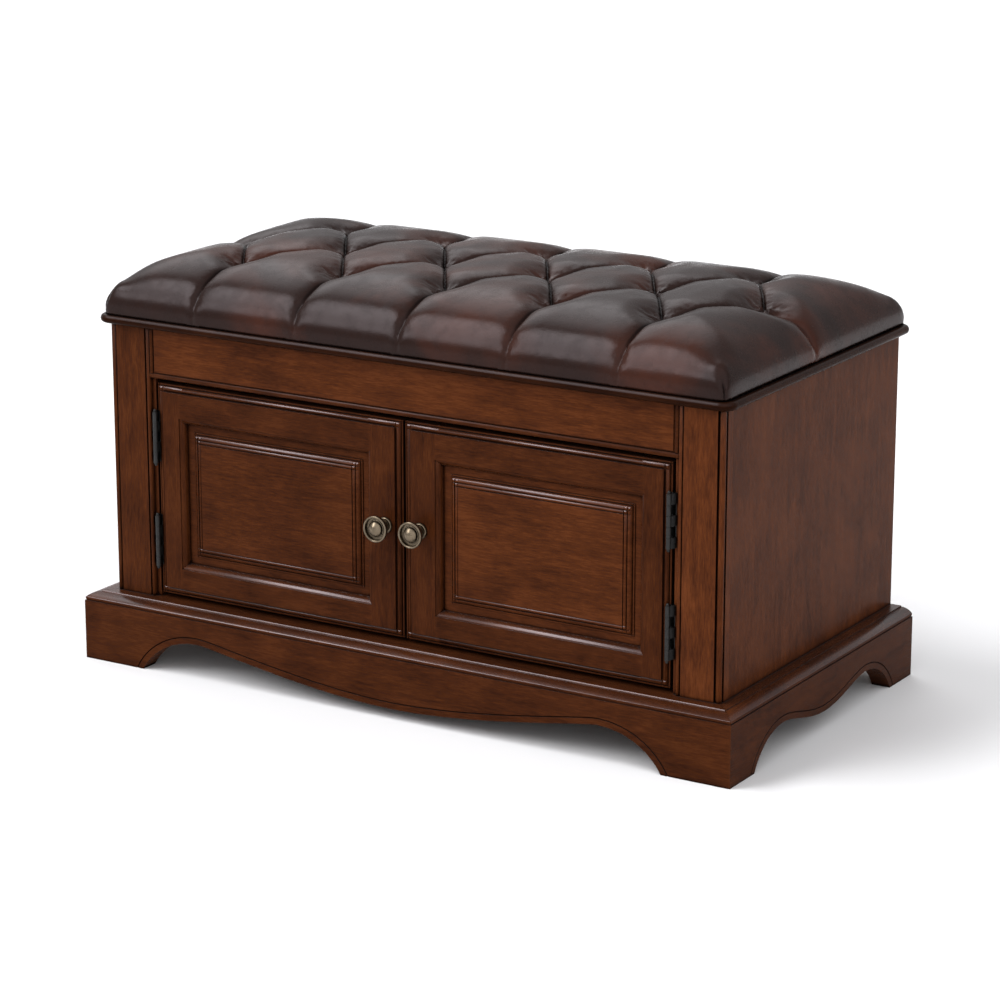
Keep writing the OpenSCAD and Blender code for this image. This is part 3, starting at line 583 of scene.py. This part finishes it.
def rounded_rim(vertices, triangles, inside):
    """Rolls the wall over into the top by moving the points there towards their neighbours."""
    ends = np.vstack((triangles[:, (0, 1)], triangles[:, (1, 2)], triangles[:, (2, 0)]))
    share = np.interp(inside, ROLL_INSIDE, ROLL_SHARE)
    from_corner = (SEAT_HALF - np.abs(vertices[:, :2] - SEAT_MID)).max(axis=1)
    corner_share = np.interp(from_corner, CORNER_ROLL, CORNER_ROLL_SHARE) * (inside > 0)
    share = np.maximum(share, corner_share)[:, None]
    for _ in range(ROLL_PASSES):
        total = np.zeros_like(vertices)
        count = np.zeros(len(vertices))
        for a, b in ((0, 1), (1, 0)):
            np.add.at(total, ends[:, a], vertices[ends[:, b]])
            np.add.at(count, ends[:, a], 1)
        vertices = vertices + share * (total / count[:, None] - vertices)
    return vertices


def surface_normals(vertices, triangles):
    a, b, c = (vertices[triangles[:, k]] for k in range(3))
    face = np.cross(b - a, c - a)
    normals = np.zeros_like(vertices)
    for k in range(3):
        np.add.at(normals, triangles[:, k], face)
    return normals / np.maximum(np.linalg.norm(normals, axis=1), 1e-9)[:, None]


def sink_direction(points, vertices, triangles):
    """Which way is out of the leather: its normal, turned upwards more the further it is inside."""
    direction = surface_normals(vertices, triangles)
    direction[:, 2] *= np.interp(inside_outline(points), SINK_INSIDE, SINK_WEIGHT)
    return direction / np.linalg.norm(direction, axis=1)[:, None]


def fold_depth(points):
    """How far the folds draw each plan point in."""
    total = np.zeros(len(points))
    for start, end, table in FOLDS:
        run = end - start
        t = np.clip((points - start) @ run / (run @ run), 0, 1)
        distance = np.linalg.norm(points - start - t[:, None] * run, axis=1)
        r = np.clip(distance / np.interp(t, table["t"], table["reach"]), 0, 1)
        rounded = 1 - np.sqrt(1 - (1 - r) ** 2)
        shape = FOLD_ROUND * rounded + (1 - FOLD_ROUND) * (1 - r) ** FOLD_EASE
        crease = np.interp(t, table["t"], table["crease"]) * np.exp(-distance / CREASE_HALF)
        total += (np.interp(t, table["t"], table["depth"]) * shape + crease) ** FOLD_MERGE
    return total ** (1 / FOLD_MERGE)


def funnel_depth(points):
    """The wide dip round each pit."""
    rho = np.min([np.linalg.norm(points - pit, axis=1) for pit in PITS], axis=0)
    return FUNNEL_DEPTH * np.clip(1 - rho / FUNNEL_R, 0, 1) ** FUNNEL_EASE


def pit_depth(points, height):
    """The last pull of each tie, with small puckers that fan out from it."""
    total = np.zeros(len(points))
    for pit in PITS:
        away = points - pit
        rho = np.linalg.norm(away, axis=1)
        angle = np.arctan2(away[:, 1], away[:, 0])
        waves = np.zeros(len(points))
        for count in PUCKER_COUNTS:
            waves += random.uniform(*PUCKER_STRENGTH) * np.cos(count * angle + random.uniform(*PUCKER_TURN))
        ring = np.clip(rho / PUCKER_R, 0, 1) * np.exp(-(np.maximum(rho - PUCKER_R, 0) / PUCKER_FADE) ** 2)
        pull = np.exp(-(rho / PULL_R) ** 2)
        total += pull * (height[np.argmin(rho)] - PIT_FLOOR) + PUCKER_DEPTH * waves * ring
    return total


def close_underside(mesh):
    """Turns the rim of the cover in under the cushion and closes it."""
    shape = bmesh.new()
    shape.from_mesh(mesh)
    rim = [edge for edge in shape.edges if edge.is_boundary]
    turned = bmesh.ops.extrude_edge_only(shape, edges=rim)["geom"]
    inner = [item for item in turned if isinstance(item, bmesh.types.BMVert)]
    middle = Vector((*SEAT_MID, FOOT_Z)) * MM
    for vertex in inner:
        vertex.co = middle + (vertex.co - middle) * UNDERSIDE_SIZE
    inner.sort(key=lambda vertex: math.atan2(vertex.co.y - middle.y, vertex.co.x - middle.x))
    shape.faces.new(inner)
    bmesh.ops.recalc_face_normals(shape, faces=shape.faces)
    shape.to_mesh(mesh)
    shape.free()


def make_cushion():
    """A tufted leather cover as one closed mesh."""
    plan = [Vector(point) for point in mesh_points()]
    points, _, triangles = delaunay_2d_cdt(plan, [], [], 0, 1e-6)[:3]
    points = np.array([tuple(point) for point in points])
    triangles = np.array(triangles)
    triangles = triangles[inside_outline(points[triangles].mean(axis=1)) > -WALL_H]
    plump = rounded_rim(plump_surface(points), triangles, inside_outline(points))
    direction = sink_direction(points, plump, triangles)
    folded = plump - direction * (fold_depth(points) + funnel_depth(points))[:, None]
    vertices = folded - direction * pit_depth(points, folded[:, 2])[:, None]

    mesh = bpy.data.meshes.new("leather_cushion")
    mesh.from_pydata((vertices * MM).tolist(), [], triangles.tolist())
    close_underside(mesh)
    mesh.shade_smooth()
    mesh.materials.append(leather("leather"))
    cushion = bpy.data.objects.new("leather_cushion", mesh)
    bpy.context.collection.objects.link(cushion)
    return cushion


# ---------- floor, light and camera ----------

FLOOR_HALF = 40.0
FLOOR_DROP = 0.2 * MM
FLOOR_LIGHT = (0.88, 0.88, 0.88, 1)
FLOOR_SHADE = (0.86, 0.86, 0.86, 1)

# Soft round lights over an even base: direction, half angle in degrees of the bright part and of its
# faded edge, and radiance.
BASE_LIGHT = 0.50
SOFT_LIGHTS = [
    ((-0.50, -0.63, 0.59), 8, 16, 8.0),
    ((-0.50, -0.27, 0.82), 8, 16, 9.5),
    ((-0.50, 0.52, 0.69), 8, 26, 2.2),
    ((0.55, -0.55, 0.62), 20, 60, 0.9),
]
SKY_TINT = (0.98, 0.98, 1.0, 1)

LENS = 125.18
SENSOR_WIDTH = 36.0
VIEW_END = 200.0
CAMERA_PLACE = (1.94034, -3.16277, 1.22806)
CAMERA_TURN = math.radians(31.50)
CAMERA_DIP = math.radians(15.61)


def make_floor():
    corners = [(x * FLOOR_HALF, y * FLOOR_HALF, 0) for x, y in ((-1, -1), (1, -1), (1, 1), (-1, 1))]
    mesh = bpy.data.meshes.new("floor")
    mesh.from_pydata(corners, [], [(0, 1, 2, 3)])
    floor = bpy.data.objects.new("floor", mesh)
    floor.location.z = -FLOOR_DROP
    bpy.context.collection.objects.link(floor)
    g = Surface("floor_white")
    clouds = g.noise(g.point, scale=2, detail=2)
    shade = g.mix(g.remap(clouds, 0.3, 0.7), FLOOR_SHADE, FLOOR_LIGHT)
    mesh.materials.append(g.finish(Base_Color=shade, Roughness=0.9, Specular_IOR_Level=0.1))


def make_light():
    """A studio sky made of a few soft round lights over a dim even base."""
    world = bpy.data.worlds.new("studio")
    bpy.context.scene.world = world
    world.use_nodes = True
    g = Graph(world.node_tree)
    direction = g.add("ShaderNodeTexCoord").outputs["Generated"]
    total = BASE_LIGHT
    for axis, bright, faded, radiance in SOFT_LIGHTS:
        facing = g.add("ShaderNodeVectorMath", operation="DOT_PRODUCT")
        g.put(facing.inputs[0], direction)
        g.put(facing.inputs[1], Vector(axis).normalized())
        edge, core = (math.cos(math.radians(angle)) for angle in (faded, bright))
        total = g.math("ADD", total, g.remap(facing.outputs["Value"], edge, core, 0.0, radiance))
    background = g.tree.nodes["Background"]
    g.put(background.inputs["Color"], SKY_TINT)
    g.put(background.inputs["Strength"], total)


def make_camera():
    data = bpy.data.cameras.new("camera")
    data.lens = LENS
    data.sensor_width = SENSOR_WIDTH
    data.clip_end = VIEW_END
    camera = bpy.data.objects.new("camera", data)
    camera.location = CAMERA_PLACE
    camera.rotation_euler = Euler((math.pi / 2 - CAMERA_DIP, 0, CAMERA_TURN))
    bpy.context.collection.objects.link(camera)
    bpy.context.scene.camera = camera


# ---------- the scene ----------

dress_wood()
dress_hardware()

cushion = make_cushion()
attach(cushion, "case")
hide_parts("cushion_cover", "cushion_foam")

make_floor()
make_light()
make_camera()
bpy.context.scene.view_settings.view_transform = "Standard"
